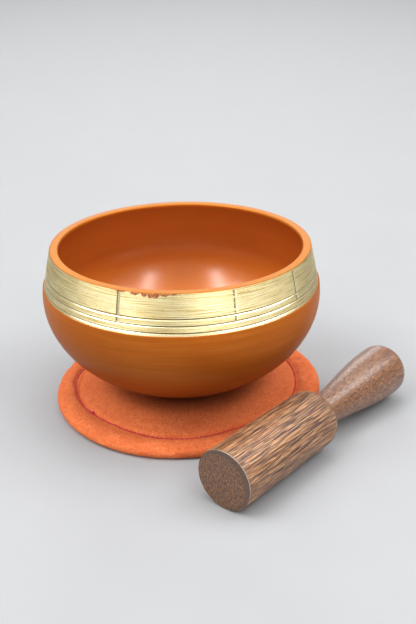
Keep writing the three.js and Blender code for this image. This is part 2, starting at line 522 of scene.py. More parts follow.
def outside_lacquer():
    """Satin lacquer over turned brass, darkened towards the foot as painted shade, and rubbed thin on top
    of the rim.
    """
    coat = dict(Coat_Weight=0.12, Coat_Roughness=0.25, Coat_IOR=1.4)
    r, base, streaks = lacquer("orange_lacquer_satin", (1.0, 0.55, 0.25, 1), 1.0, Metallic=0.3, **coat)
    height = r.axis("Z")
    # Painted shade: the lacquer darkens from 56 mm down towards the foot.
    foot = (height, 56 * MM, 14 * MM, 0.18, 0.88, "#6e2f0a")
    base = r.tinted(base, foot, (height, 72.2 * MM, 72.9 * MM, 0, 0.4, "#a5782c"))
    fine = r.bump(r.noise((0.5, 0.5, 5.0), detail=3), 0.02, 0.3)
    coarse = r.bump(r.noise((0.9, 0.9, 1.1), detail=3), 0.02, 0.25, fine)
    return r.finish(base, r.span(streaks, 0.3, 0.7, 0.34, 0.46), coarse)


def inside_lacquer():
    """The same lacquer inside, left glossier, with only faint turning rings, painted shade darkening it
    high up the wall and painted light lightening it low in the bowl.
    """
    coat = dict(Coat_Weight=1.0, Coat_Roughness=0.24, Coat_IOR=1.7)
    r, base, streaks = lacquer("orange_lacquer_gloss", (1.0, 0.6, 0.3, 1), 0.45, Metallic=0.2, **coat)
    height = r.axis("Z")
    # Painted shade darkens the lacquer high up the inside wall; painted light lightens it from 51 mm down
    # towards the floor.
    high = (height, 62 * MM, 74 * MM, 0.55, 0.8, "#853c0c")
    middle = (height, 51 * MM, 43 * MM, 0, 0.55, "#cf7426")
    base = r.tinted(base, high, middle, (height, 44 * MM, 28 * MM, 0, 0.4, "#e08030"))
    fine = r.bump(r.noise((0.3, 0.3, 1.6), detail=3), 0.012, 0.15)
    coarse = r.bump(r.noise((0.9, 0.9, 1.1), detail=3), 0.015, 0.2, fine)
    return r.finish(base, r.span(streaks, 0.3, 0.7, 0.42, 0.5), coarse)


def brass_material():
    """Bare brass as the lathe left it: fine rings round the band, with duller patches."""
    r = Recipe("turned_brass", Metallic=1.0, Anisotropic=0.85, Anisotropic_Rotation=0.25)
    rings = r.noise((0.05, 0.05, 4.2), detail=5, rough=0.65)
    patches = r.noise((0.09, 0.09, 0.2), detail=3)
    specks = r.noise((1.8, 1.8, 3.5), detail=3)
    base = r.ramp(rings, [(0.32, "#a67f40"), (0.45, "#f0dc9a"), (0.6, "#fff7d0")])
    base = r.tinted(base, (patches, 0.45, 0.72, 0, 0.35, "#cdad68"), (specks, 0.6, 0.72, 0, 0.6, "#866830"))
    r.turned()
    return r.finish(base, r.span(rings, 0.3, 0.7, 0.66, 0.5), r.bump(rings, 0.12, 0.7))


def felt_material():
    """Pressed wool: cloudy colour, fine crossing fibres and a soft nap, with a faint painted shadow under
    the bowl.
    """
    dark, middle, light = "#b8481f", "#d4683a", "#ec8f58"
    sheen = dict(Sheen_Weight=0.35, Sheen_Roughness=0.45, Sheen_Tint=colour(light))
    r = Recipe("orange_felt", Specular_IOR_Level=0.15, **sheen)
    fibres = r.noise((1.5, 1.5, 1.5), detail=5, rough=0.7, distort=1.6)
    tufts = r.noise((0.45, 0.45, 0.45), detail=3, distort=0.6)
    clouds = r.noise((0.06, 0.06, 0.06), detail=3)
    base = r.ramp(fibres, [(0.33, dark), (0.5, middle), (0.67, light)])
    base = r.tinted(base, (tufts, 0.35, 0.7, 0, 0.35, light), (clouds, 0.4, 0.7, 0, 0.3, dark))
    # A faint painted shadow darkens the felt under the bowl, strongest within 20 mm of the middle and gone
    # by 34 mm.
    base = r.tinted(base, (r.off_axis((1, 1, 0)), 20, 34, 0.22, 0, "#7d2c10"))
    fine = r.bump(fibres, 0.22, 0.8, r.bump(tufts, 0.3, 0.5))
    return r.finish(base, r.span(fibres, 0.3, 0.7, 0.98, 0.86), fine)


def wood_material(name, coat, coat_roughness, pore_strength, contrast):
    """Dark open-pored hardwood, waxed, in the mallet's own frame: the grain runs along x."""
    r = Recipe(name, Coat_Weight=coat, Coat_Roughness=coat_roughness, Specular_IOR_Level=0.5)
    lies = mallet_place()
    inputs = {"Vector": r.place, "Location": lies.to_translation(), "Rotation": lies.to_euler()}
    r.place = r.node("ShaderNodeMapping", inputs, vector_type="TEXTURE").outputs[0]
    drift = r.noise((0.012, 0.09, 0.09), detail=3)
    from_pith = r.off_axis((0, 1, 1), (0, 26.0, 19.0))
    years = r.math("ADD", r.math("MULTIPLY", from_pith, 0.42), r.math("MULTIPLY", drift, 2.6))
    rings = r.math("FRACT", years)
    streaks = r.noise((0.07, 4.4, 4.4), detail=1, rough=0.6)
    flecks = r.noise((0.13, 4.4, 4.4), detail=0, offset=(3.1, 0, 0))
    broad = r.noise((0.05, 0.6, 0.6), detail=3)
    stops = [(-0.15, "#1f0f08"), (-0.05, "#5a321b"), (0.05, "#885532"), (0.17, "#bb8759")]
    base = r.ramp(streaks, [(0.5 + place * contrast, shade) for place, shade in stops])
    shade = r.ramp(rings, [(0.0, 0.6), (0.25, 0.97), (0.8, 1.0), (1.0, 0.65)])
    base = r.mix(0.5, base, shade, "MULTIPLY")
    pale = (flecks, 0.6, 0.7, 0, 0.5 / contrast, "#d4a679")
    base = r.tinted(base, (broad, 0.35, 0.65, 0.3, 0, "#50301f"), pale)
    pores, crescent, worn_and_painted_highlight = (r.attribute(name) for name in ("pore", "crescent", "worn_and_painted_highlight"))
    face = r.span(r.axis("X"), 0.25 * MM, 0.6 * MM, 1, 0)
    end_grain = r.noise((0.1, 2.4, 0.7), detail=4, rough=0.75)
    ends = r.ramp(end_grain, [(0.42, "#241309"), (0.5, "#573620"), (0.58, "#94694a")])
    overlays = [(pores, pore_strength, "#1a0c07"), (face, 0.75, ends)]
    # The pale bevel colour is part wear and part painted highlight, kept to where the bevel faces up.
    overlays += [(crescent, 0.8, "#4c3a31"), (worn_and_painted_highlight, 0.7, "#cdb9a9")]
    for place, strength, shade in overlays:
        base = r.mix(r.math("MULTIPLY", place, strength), base, shade)
    rough = r.math("SUBTRACT", r.span(streaks, 0.3, 0.7, 0.58, 0.44), r.math("MULTIPLY", worn_and_painted_highlight, 0.2))
    coarse = r.bump(r.math("SUBTRACT", 1.0, pores), 0.1, 0.6 * pore_strength)
    return r.finish(base, rough, r.bump(streaks, 0.08 * pore_strength, 0.5, coarse))


def floor_material():
    r = Recipe("pale_floor", Specular_IOR_Level=0.25)
    grain = r.noise((0.02, 0.02, 0.02), detail=4)
    r.link(r.ramp(grain, [(0.3, "#999a9c"), (0.7, "#9c9d9f")]), "Base Color")
    r.link(r.span(grain, 0.3, 0.7, 0.62, 0.7), "Roughness")
    return r.material


# ---- bowl

def band_radius(height):
    share = (height - BOWL.lip_height) / (BOWL.rim - BOWL.lip_height)
    cone = between(BOWL.band_foot, BOWL.rim_radius, share)
    return cone + BOWL.band_bulge * np.sin(math.pi * np.clip(share, 0, 1))


def groove_depth(height):
    """How deep the V-grooves cut at a height, 0 between them."""
    depth = np.zeros_like(height)
    for index in range(GROOVE.count):
        away = np.abs(height - GROOVE.lowest - index * GROOVE.pitch)
        depth = np.maximum(depth, GROOVE.depth * (1 - away / (GROOVE.width / 2)))
    return depth


def bowl_profile():
    """The wall from the middle of the foot, up the outside, over the rim and down the inside.
    Returns the profile, and the material slot of each stretch between two points."""
    b = BOWL
    belly = (0, b.belly_height)
    blend_angle = -math.acos(b.foot_blend_radius / b.belly_radius)
    lip_angle = math.asin((b.lip_height - b.lip_round - b.belly_height) / b.belly_drop)
    body = ellipse_arc(belly, b.belly_radius, b.belly_drop, blend_angle, lip_angle, 84)

    t = np.linspace(0, 1, 15)[:, None]
    start, corner, end = np.array([b.foot_radius, b.base]), np.array(b.foot_blend_corner), body[0]
    blend = (1 - t) ** 2 * start + 2 * t * (1 - t) * corner + t**2 * end
    foot = level(0, b.foot_radius - 0.4, 12, b.base)
    foot[3:-1, 1] += 0.25 * np.sin(np.linspace(0, math.pi, 8))

    lip_middle = (body[-1, 0] - b.lip_round, b.lip_height - b.lip_round)
    lip = ellipse_arc(lip_middle, b.lip_round, b.lip_round, 0.15, math.pi / 2, 4)
    step = np.array([[b.band_foot + 0.05, b.lip_height]])

    heights = np.arange(b.lip_height + 0.06, b.rim - b.rim_outer_round, BAND_STEP)
    band = np.stack([band_radius(heights) - groove_depth(heights), heights], 1)

    outer, inner = b.rim_outer_round, b.rim_inner_round
    inner_edge = b.rim_radius - b.rim_width
    outer_middle = (b.rim_radius - outer, b.rim - outer)
    rim = ellipse_arc(outer_middle, outer, outer, 0, math.pi / 2, 5)
    flat = level(b.rim_radius - outer, inner_edge + inner, 7, b.rim)[1:-1]
    turn = ellipse_arc((inner_edge + inner, b.rim - inner), inner, inner, math.pi / 2, math.pi, 8)

    meet = math.acos(inner_edge / b.cavity_radius)
    rise = (b.rim - inner - b.belly_height) / math.sin(meet)
    upper = ellipse_arc(belly, b.cavity_radius, rise, meet, 0, 26)[1:]
    floor = ellipse_arc(belly, b.cavity_radius, b.cavity_drop, 0, -math.pi / 2, 74)[1:]
    floor[-1, 0] = 0

    parts = [(part, OUTSIDE) for part in (foot, blend, body[1:], lip)] + [(step, CUT_HIGHLIGHT), (band, BRASS)]
    parts += [(part, OUTSIDE) for part in (rim, flat, turn)] + [(upper, INSIDE), (floor, INSIDE)]
    profile = np.vstack([part for part, _ in parts])
    slots = np.concatenate([np.full(len(part), slot) for part, slot in parts])
    # The grooves' upward-facing lower flanks take the paler cut brass, partly a painted highlight, and
    # their downward-facing upper flanks the darker brass, partly painted shade.
    in_groove = (slots == BRASS) & (groove_depth(profile[:, 1]) > 0.03)
    half_pitch = GROOVE.pitch / 2
    from_middle = (profile[:, 1] - GROOVE.lowest + half_pitch) % GROOVE.pitch - half_pitch
    slots[in_groove] = CUT_HIGHLIGHT
    slots[in_groove & (from_middle > -0.08)] = TARNISH_SHADE
    return profile, slots


def nick_across(height, direction, towards):
    """How far a place is from the middle line of a nick, in millimetres, more to the right."""
    centre = math.radians(towards) + 0.002 * noise(height * 0.3, towards, 0.0, 5)
    return np.angle(np.exp(1j * (direction - centre))) * BOWL.rim_radius


def nick_reach(height):
    """1 at the heights that the nicks cross, the wide land and the one below it, and 0 elsewhere."""
    lowest = GROOVE.lowest + GROOVE.pitch
    below_rim = 1 - smooth(BOWL.rim - 0.9, BOWL.rim - 0.5, height)
    return smooth(lowest + 0.4, lowest + 0.6, height) * below_rim


def nick_depth(height, direction):
    """Depth of the upright nicks, a shallow V across each."""
    depth = np.zeros(np.broadcast(height, direction).shape)
    half = NICK_WIDTH / 2
    for towards, deep, dashed in NICKS:
        across = nick_across(height, direction, towards)
        dashes = 1 - dashed * (0.5 + 0.5 * noise(height * 1.6, towards, 1.0, 9))
        depth = depth + deep * dashes * np.clip(1 - np.abs(across) / half, 0, 1)
    return depth * nick_reach(height)


def turned_relief(radius, height, direction):
    """The turning rings and nicks on the band, and the slight unevenness of the hand-finished lacquer."""
    outside = radius > between(BOWL.rim_radius, BOWL.rim_radius - BOWL.rim_width, 0.3)
    in_band = smooth(BOWL.lip_height + 0.1, BOWL.lip_height + 0.4, height)
    in_band = in_band * (1 - smooth(BOWL.rim - 0.45, BOWL.rim - 0.3, height)) * outside
    wobble = 0.25 * round_noise(1.3, direction, height * 0.05, 3)
    rings = round_noise(0.9, direction, (height + wobble) * 2.1, 11)
    fine = round_noise(2.4, direction, (height + wobble) * 4.6, 12)
    broken = 0.55 + 0.45 * round_noise(3.0, direction, height * 0.7, 13)
    on_land = 1 - np.clip(groove_depth(height) / 0.1, 0, 1)
    cut = (0.03 * (1 + rings) + 0.028 * (1 + fine)) * broken * between(0.25, 1.0, on_land)
    out = -in_band * (cut + nick_depth(height, direction))
    ripple = 0.012 * round_noise(2.0, direction, height * 0.8, 21) - 0.012
    return out + (1 - in_band) * ripple, np.zeros_like(out)


def paint_nick_shade_and_highlight(mesh):
    """Gives each nick a darker left side, in dashes, as painted shade, and a paler right side as a painted
    highlight.
    """
    x, y, height = read(mesh.polygons, "center").T / MM
    slot = np.zeros(len(x), np.int32)
    mesh.polygons.foreach_get("material_index", slot)
    land = (slot == BRASS) & (nick_reach(height) > 0.5)
    for towards, _, dashed in NICKS:
        across = nick_across(height, np.arctan2(y, x), towards)
        dash = noise(height * 1.9, towards + across * 0.4, 2.0, 15) > dashed - 1.05
        # The left flank's darker brass is painted shade, the right flank's paler brass a painted highlight.
        slot[land & dash & (np.abs(across + 0.2 * NICK_WIDTH) < 0.19 * NICK_WIDTH)] = NICK_SHADE
        slot[land & (np.abs(across - 0.22 * NICK_WIDTH) < 0.22 * NICK_WIDTH)] = CUT_HIGHLIGHT
    mesh.polygons.foreach_set("material_index", slot)


def make_bowl(materials):
    profile, slots = bowl_profile()
    directions = [even_directions(BOWL_COLUMNS)]
    for towards, *_ in NICKS:
        across = np.linspace(-0.75, 0.75, 13) * NICK_WIDTH / BOWL.rim_radius
        directions.append(np.radians(towards) % (math.tau) + across)
    directions = np.unique(np.concatenate(directions).round(5))
    bowl = lathe("bowl_shell", profile, directions, materials, slots, turned_relief)
    paint_nick_shade_and_highlight(bowl.data)
    bowl.location.x = BOWL.middle * MM
    return bowl


def make_chips(material):
    """Ragged scraps of lacquer left on the band under the rim, as one thin closed scab."""
    first = min(towards - 1.6 * wide for towards, wide, _ in CHIPS)
    last = max(towards + 1.6 * wide for towards, wide, _ in CHIPS)
    degrees = np.arange(first, last, 0.12)
    depth, jagged = np.full_like(degrees, 0.12), 0.82
    for towards, wide, deep in CHIPS:
        away = np.abs(degrees - towards) / wide
        depth = np.maximum(depth, deep * np.clip(1.25 - away**2, 0, 1))
    for scale, size, seed in CHIP_RAGGEDNESS:
        jagged = jagged + size * noise(degrees * scale, 0.0, 0.0, seed)
    depth = depth * jagged
    share = np.linspace(0, 1, 10)
    degrees = degrees[:, None]
    height = BOWL.rim - BOWL.rim_outer_round + 0.05 - share * depth[:, None]
    bumps = 0.025 * noise(degrees * 1.6, height * 3.0, 0.0, 35)
    thick = CHIP_THICKNESS * (1 - 0.7 * share**4) + bumps
    front = polar(band_radius(height) - 0.02 + thick * 0.6, np.radians(degrees), height)
    back = polar(band_radius(height) - 0.12, np.radians(degrees), height)
    sections = np.concatenate([front, back[:, ::-1]], 1)
    points, faces = [], []
    add_rings(points, faces, sections)
    chips = mesh_object("bowl_lacquer_scraps", points, faces, [material])
    chips.location.x = BOWL.middle * MM
    return chips


# ---- mat

def outline_share(direction):
    """How far the mat's hand-cut outline reaches in a direction, as a share of the nominal radius."""
    share = 1.0
    for lobes, size, towards in OUTLINE_LOBES:
        share = share + size * np.cos(lobes * (direction - math.radians(towards)))
    return share


def eased(start, end, steps):
    """(radius, height) from one place to another, level where it starts and ends."""
    share = np.linspace(0, 1, steps + 1)[1:]
    rise = (1 - np.cos(math.pi * share)) / 2
    return np.stack([between(start[0], end[0], share), between(start[1], end[1], rise)], 1)


def mat_section():
    """The mat's top cover as (nominal radius, height) from its middle to its turned-under hem,
    before the seam is pulled in."""
    m = MAT
    edge, border = m.edge_round, 2 * m.edge_round
    seat = [(radius, SEAT_HEIGHT) for radius in (1.0, 7.0, 14.0, 18.0, m.seat_radius)]
    top, inner_seam = (m.pad_radius, m.pad_height), (m.seam_radius - 1.4, border - 0.3)
    pad = np.vstack([eased(seat[-1], top, 5), eased(top, inner_seam, 14)])
    dip = [(-0.7, -0.45), (0, -0.5), (0.7, -0.4), (1.5, -0.1)]
    seam = [(m.seam_radius + out, border + up) for out, up in dip]
    roll = [(52.6, border + 0.05), (53.7, border + 0.08), (54.8, border + 0.08), (55.9, border + 0.04)]
    turn = ellipse_arc((m.radius - edge, edge), edge, edge, math.pi / 2, -math.pi / 2, 13)
    return np.vstack([seat, pad, seam, roll, turn])


def swollen(points, held):
    """Lets the felt swell between its seams: an enlarged cloth simulation, where held rows stay in
    place. Returns the new points, none moved further than the cap."""
    rows, columns, _ = points.shape
    faces = [face[::-1] for face in ring_faces(rows, columns)]
    cloth = mesh_object("cloth_simulation", points.reshape(-1, 3) * CLOTH_SCALE, faces, [])
    group = cloth.vertex_groups.new(name="held")
    kept = (np.flatnonzero(held)[:, None] * columns + np.arange(columns)).ravel()
    group.add(kept.tolist(), 1.0, "REPLACE")
    modifier = cloth.modifiers.new("cloth", "CLOTH")
    for setting, value in CLOTH.items():
        setattr(modifier.settings, setting, value)
    modifier.settings.vertex_group_mass = "held"
    modifier.settings.effector_weights.gravity = 0
    modifier.collision_settings.use_collision = False
    modifier.point_cache.frame_start = 1
    modifier.point_cache.frame_end = CLOTH_STEPS
    scene = bpy.context.scene
    for step in range(1, CLOTH_STEPS + 1):
        scene.frame_set(step)
    result = cloth.evaluated_get(bpy.context.evaluated_depsgraph_get()).to_mesh()
    moved = read(result.vertices, "co").reshape(rows, columns, 3) / MM / CLOTH_SCALE
    bpy.data.objects.remove(cloth)
    scene.frame_set(1)
    step = moved - points
    length = np.linalg.norm(step, axis=-1, keepdims=True)
    moved = points + step * np.minimum(1, SWELL_CAP / np.maximum(length, 1e-6))
    # The swelling widens the edge, so it is drawn back in to the mat's own outline.
    before = np.linalg.norm(points[..., :2], axis=-1)
    after = np.linalg.norm(moved[..., :2], axis=-1)
    excess = np.maximum(after.max(0) - before.max(0), 0)
    share = smooth(MAT.seam_radius * before.max(0) / MAT.radius, before.max(0), before)
    moved[..., :2] *= (1 - excess * share / after)[..., None]
    return moved


def seam_wander(direction):
    """How far the hand-guided seam strays from its nominal radius."""
    stray = 0.3 * round_noise(2.2, direction, 0.0, 41) + 0.12 * round_noise(9.0, direction, 0.0, 42)
    for towards, wide, out in SEAM_DRIFTS:
        stray = stray + out * bell(degrees_past(towards, direction), wide)
    return stray


def past_seam(nominal, direction):
    """How far outside the seam a nominal radius is."""
    return nominal - MAT.seam_radius - seam_wander(direction)


def felt_at_seam(outer, nominal, direction):
    """The point of the top cover's outer face that lies on the seam, in a direction."""
    row = np.argmin(np.abs(past_seam(nominal[:, 0], direction)))
    return outer[row, int(round(direction / (math.tau) * MAT_COLUMNS)) % MAT_COLUMNS]


def creases(nominal, direction):
    """Depth of the soft creases in the cover."""
    depth = 0.0
    for radius, lean, start, end, wide, deep in CREASES:
        half = (end - start) / 2
        along = np.abs(degrees_past(start + half, direction))
        across = bell(nominal - radius - lean * np.cos(direction), wide)
        depth = depth + deep * across * (1 - smooth(0.6 * half, half, along))
    return depth


def cover_relief(nominal, direction, on_top):
    """Depth that the seam, the needle holes, creases and the felt's own texture take from the cover."""
    away = past_seam(nominal, direction)
    hole = np.clip((np.cos(STITCHES * direction) - 0.35) / 0.65, 0, 1) ** 2
    groove = bell(away, MAT.seam_half_width * 0.75)
    depth = groove * (MAT.seam_depth * 0.62 + 0.4 * hole * bell(away, 0.4))
    # Small puckers run out from each needle hole.
    strength = 0.6 + 0.4 * round_noise(6.0, direction, 0.0, 44)
    depth = depth + 0.13 * hole * bell(away, 3.2) * strength + creases(nominal, direction)
    x, y = nominal * np.cos(direction), nominal * np.sin(direction)
    lumps = 0.1 * noise(x * 0.07, y * 0.07, 0.0, 51) + 0.03 * noise(x * 0.2, y * 0.2, 0.0, 52)
    nap = 0.05 * noise(x * 0.8, y * 0.8, 0.0, 53) + 0.035 * noise(x * 1.9, y * 1.9, on_top, 54)
    return depth * on_top + (lumps * on_top + nap) * 0.8 + 0.05


def make_cover(felt):
    """The top cover: felt swollen over the wadding, pulled in by the seam and turned under at the edge.
    Returns it, its smooth shape, its outer face and the nominal radius of each of their rows."""
    section = mat_section()
    direction = even_directions(CLOTH_COLUMNS)
    nominal = section[:, 0]
    points = polar(section[:, 0:1] * outline_share(direction), direction, section[:, 1:2])
    at_seam = np.abs(nominal - MAT.seam_radius) < 0.8
    held = (nominal <= MAT.seat_radius + 0.1) | at_seam | (section[:, 1] < 1.2)
    points = swollen(points, held)
    rows = 3 * (len(section) - 1) + 1
    points = resample(resample(points, MAT_COLUMNS, 1, True), rows, 0, False)
    nominal = resample(nominal, rows, 0, False)[:, None]
    direction = np.arctan2(points[..., 1], points[..., 0])
    on_top = smooth(0.8, 3.2, points[..., 2])
    seated = 1 - smooth(MAT.seat_radius - 2, MAT.seat_radius + 3, nominal)
    depth = cover_relief(nominal, direction, on_top) * (1 - 0.85 * seated)
    outer = points - grid_normals(points) * depth[..., None]
    # The felt stays above the table, and below the bowl where that overhangs or stands on it.
    under_bowl = np.where(nominal < MAT.pad_radius + 4, SEAT_HEIGHT + 0.9, 20.0)
    ceiling = np.where(nominal <= MAT.seat_radius, SEAT_HEIGHT, under_bowl)
    outer[..., 2] = np.clip(outer[..., 2], 0.02, ceiling)
    inner = (outer - grid_normals(outer) * MAT.cover)[::3]
    inner[..., 2] = np.maximum(inner[..., 2], 0.3)
    rings = np.vstack([inner, outer[::-1]])
    points_and_faces = closed_rings(rings, inner[0, :, 2].mean(), outer[0, :, 2].mean())
    return mesh_object("mat_cover_top", *points_and_faces, [felt]), points, outer, nominal


def make_bottom_cover(felt):
    """A flat disc of felt inside the turned-under hem, with the seam's groove on its underside."""
    middle, at_seam = np.linspace(1, MAT.seam_radius - 3.7, 26), np.arange(46.6, 51.8, 0.35)
    nominal = np.concatenate([middle, at_seam, np.linspace(52.4, CUT_RADIUS - 0.25, 6)])[:, None]
    direction = even_directions(MAT_COLUMNS // 2)
    x, y = nominal * np.cos(direction), nominal * np.sin(direction)
    share = outline_share(direction)
    groove = 0.5 * bell(past_seam(nominal, direction), 0.7)
    low = groove + 0.04 + 0.04 * noise(x * 0.7, y * 0.7, 0.0, 61)
    high = MAT.cover - 0.05 + 0.05 * noise(x * 0.5, y * 0.5, 3.0, 62)
    under, over = (polar(nominal * share, direction, height) for height in (low, high))
    rim = polar(CUT_RADIUS * share, direction, MAT.cover / 2)[None]
    rings = np.vstack([under, rim, over[::-1]])
    return mesh_object("mat_cover_bottom", *closed_rings(rings, 0.1, MAT.cover - 0.05), [felt])


def make_wadding(material, smooth_cover, nominal):
    """Loose wadding that fills the space between the covers."""
    keep = (nominal[:, 0] < MAT.radius - MAT.edge_round) | (smooth_cover[:, 0, 2] > 2.6)
    direction = np.arctan2(smooth_cover[..., 1], smooth_cover[..., 0])
    dip = 1.3 * bell(past_seam(nominal, direction), 4.5)
    sunk = smooth_cover - grid_normals(smooth_cover) * (MAT.cover + 0.75 + dip)[..., None]
    top = sunk[keep][::4, ::3]
    lumps = 0.12 * (1 + noise(top[..., 0] * 0.25, top[..., 1] * 0.25, 0.0, 71))
    top[..., 2] = np.maximum(top[..., 2] - lumps, MAT.cover + 0.5)
    bottom = top.copy()
    bottom[..., 2] = MAT.cover + 0.22
    rings = np.vstack([bottom, top[::-1]])
    points, faces = closed_rings(rings, MAT.cover + 0.22, top[0, :, 2].mean())
    return mesh_object("mat_wadding", points, faces, [material])


def seam_point(angle, height, across=0.0):
    """A place on the seam, at an angle in radians, moved across it by some millimetres."""
    radius = (MAT.seam_radius + seam_wander(angle)) * outline_share(angle) + across
    return polar(radius, angle, height)


def make_stitches(thread, outer, nominal):
    """The seam's stitches: two plies twisted together on top, from one needle hole down into the next,
    and a plain thread below."""
    random = np.random.RandomState(7)
    points, faces = [], []
    pitch = math.tau / STITCHES
    share = np.linspace(-1, 1, 17)
    for index in range(STITCHES):
        angle = (index + np.linspace(0, 1, 17)) * pitch
        felt = felt_at_seam(outer, nominal, (index + 0.5) * pitch)[2]
        height = felt + THREAD_PLY * 1.5 + random.uniform(-0.05, 0.03) - 1.5 * np.abs(share) ** 3.5
        centre = seam_point(angle, height, random.uniform(-0.1, 0.1) * share)
        twist = random.uniform(0, math.tau) + share * 3.2
        for ply in (0, math.pi):
            swing = polar(np.cos(twist + ply), angle, np.sin(twist + ply))
            add_tube(points, faces, centre + swing * THREAD_PLY * 0.82, THREAD_PLY, 7)
    below = 0.26 + 0.45 * np.abs(np.linspace(-1, 1, 9)) ** 5
    for index in range(STITCHES):
        angle = (index + np.linspace(0, 1, 9)) * pitch
        add_tube(points, faces, seam_point(angle, below), 0.22, 6)
    return mesh_object("mat_stitches", points, faces, [thread])


def make_knot(thread, outer, nominal):
    """Where the seam's thread is tied off: a small knot with two short tails."""
    place = felt_at_seam(outer, nominal, math.radians(KNOT_DIRECTION)) + np.array([0, 0, 0.55])
    t = np.linspace(0, math.tau, 31)[:-3]
    trefoil = [np.sin(t) + 2 * np.sin(2 * t), np.cos(t) - 2 * np.cos(2 * t), -1.1 * np.sin(3 * t)]
    long_tail = [(-1.9, -0.5, 0.4), (-1.3, -0.8, 0.5), (-0.6, -0.7, 0.2)]
    short_tail = [(0.6, 0.5, 0.1), (1.1, 0.2, 0.0)]
    path = np.vstack([long_tail, np.stack(trefoil, 1) * 0.22, short_tail])
    points, faces = [], []
    add_tube(points, faces, resample(path, len(path) * 3, 0, False) + place, 0.2, 8)
    return mesh_object("mat_thread_knot", points, faces, [thread])


def make_fibres(felt, outer, nominal):
    """Loose wool fibres that stand off the felt's border, and one longer one that hangs at its edge."""
    random = np.random.RandomState(19)
    normals = grid_normals(outer)
    points, faces = [], []
    free = np.flatnonzero((nominal[:, 0] > MAT.pad_radius + 8) & (outer[:, :, 2].min(1) > 0.6))
    for _ in range(FELT_FIBRES):
        row, column = random.choice(free), random.randint(MAT_COLUMNS)
        normal = normals[row, column]
        side = unit(np.cross(normal, random.normal(size=3)))
        reach = random.uniform(0.5, 1.4)
        t = np.linspace(0, 1, 6)[:, None]
        bend = unit(np.cross(side, normal)) * random.uniform(-0.5, 0.5)
        path = outer[row, column] - normal * 0.1
        path = path + reach * (side * t + normal * 0.45 * np.sin(math.pi * t * 0.8) + bend * t**2)
        path[:, 2] = np.maximum(path[:, 2], 0.1)
        add_tube(points, faces, path, np.linspace(0.03, 0.012, 6), 3)
    angle = math.radians(-107.6)
    start = polar(59.4 * outline_share(angle), angle, 3.4)
    drop = [(0, 0.9, 0.1), (0, 0, 0), (-0.1, -0.7, -1.4)]
    drop += [(0.2, -0.9, -2.7), (0.5, -1.6, -3.2), (1.2, -2.0, -3.25)]
    add_tube(points, faces, resample(np.array(drop), 18, 0, False) + start, 0.07, 5)
    return mesh_object("mat_felt_fibres", points, faces, [felt])


# ---- mallet

def mallet_profile():
    """(radius, distance from the striking face) from the middle of the face to the end of the handle."""
    m = MALLET
    bevel, neck = m.edge_bevel, m.head_length + m.shoulder
    face = level(0, m.head_radius - bevel, 44, 0)
    edge = ellipse_arc((m.head_radius - bevel, bevel), bevel, bevel, -math.pi / 2, 0, 5)[1:]
    share = np.linspace(0, 1, int(m.head_length / MALLET_STEP))[1:]
    head = np.stack([between(m.head_radius, m.head_back, share), between(bevel, m.head_length, share)], 1)
    middle = (m.head_back - m.shoulder_drop, m.head_length)
    shoulder = ellipse_arc(middle, m.shoulder_drop, m.shoulder, 0, math.pi / 2, 12)[1:]
    ledge = level(shoulder[-1, 0], m.neck_radius + 0.35, 9, neck)[1:]
    share = np.linspace(0.012, 1, int((m.knob_start - neck) / MALLET_STEP))
    swell = np.sin(math.pi / 2 * share) ** m.flare
    handle = [between(m.neck_radius, m.knob_radius, swell), between(neck, m.knob_start, share)]
    knob = m.length - m.knob_start
    end = ellipse_arc((0, m.knob_start), m.knob_radius, knob, 0, math.pi / 2, 34)[1:]
    end[-1, 0] = 0
    return np.vstack([face, edge, head, shoulder, ledge, np.stack(handle, 1), end])


def mallet_place():
    """From the mallet's own frame, whose x runs from the face along the grain, to where it lies."""
    x, y = MALLET.face
    turn = Matrix.Rotation(math.radians(MALLET.heading), 4, "Z")
    return Matrix.Translation(Vector((x, y, MALLET.head_radius)) * MM) @ turn


def pore_share(along, across, up):
    """How deep an open pore is at a place in the wood, 0 to 1. Pores are long and thin along the grain."""
    sway = 0.3 * noise(along * 0.03, across * 0.1, up * 0.1, 81)
    coarse = noise(along * 0.1, (across + sway) * 3.6, (up + sway) * 3.6, 82)
    fine = noise(along * 0.17 + 5.0, (across + sway) * 4.6, (up + sway) * 4.6, 83)
    crowd = 0.14 * noise(along * 0.02, across * 0.12, up * 0.12, 84)
    deep = smooth(0.26, 0.6, coarse + crowd)
    return np.maximum(deep, 0.8 * smooth(0.3, 0.62, fine + crowd))


def face_crescent(across, up):
    """1 on the smooth crescent at the striking face's upper right, left by an earlier cut of the lathe."""
    shift, reach = CRESCENT
    return smooth(0.0, 0.25, np.hypot(across - shift, up - shift) - reach)


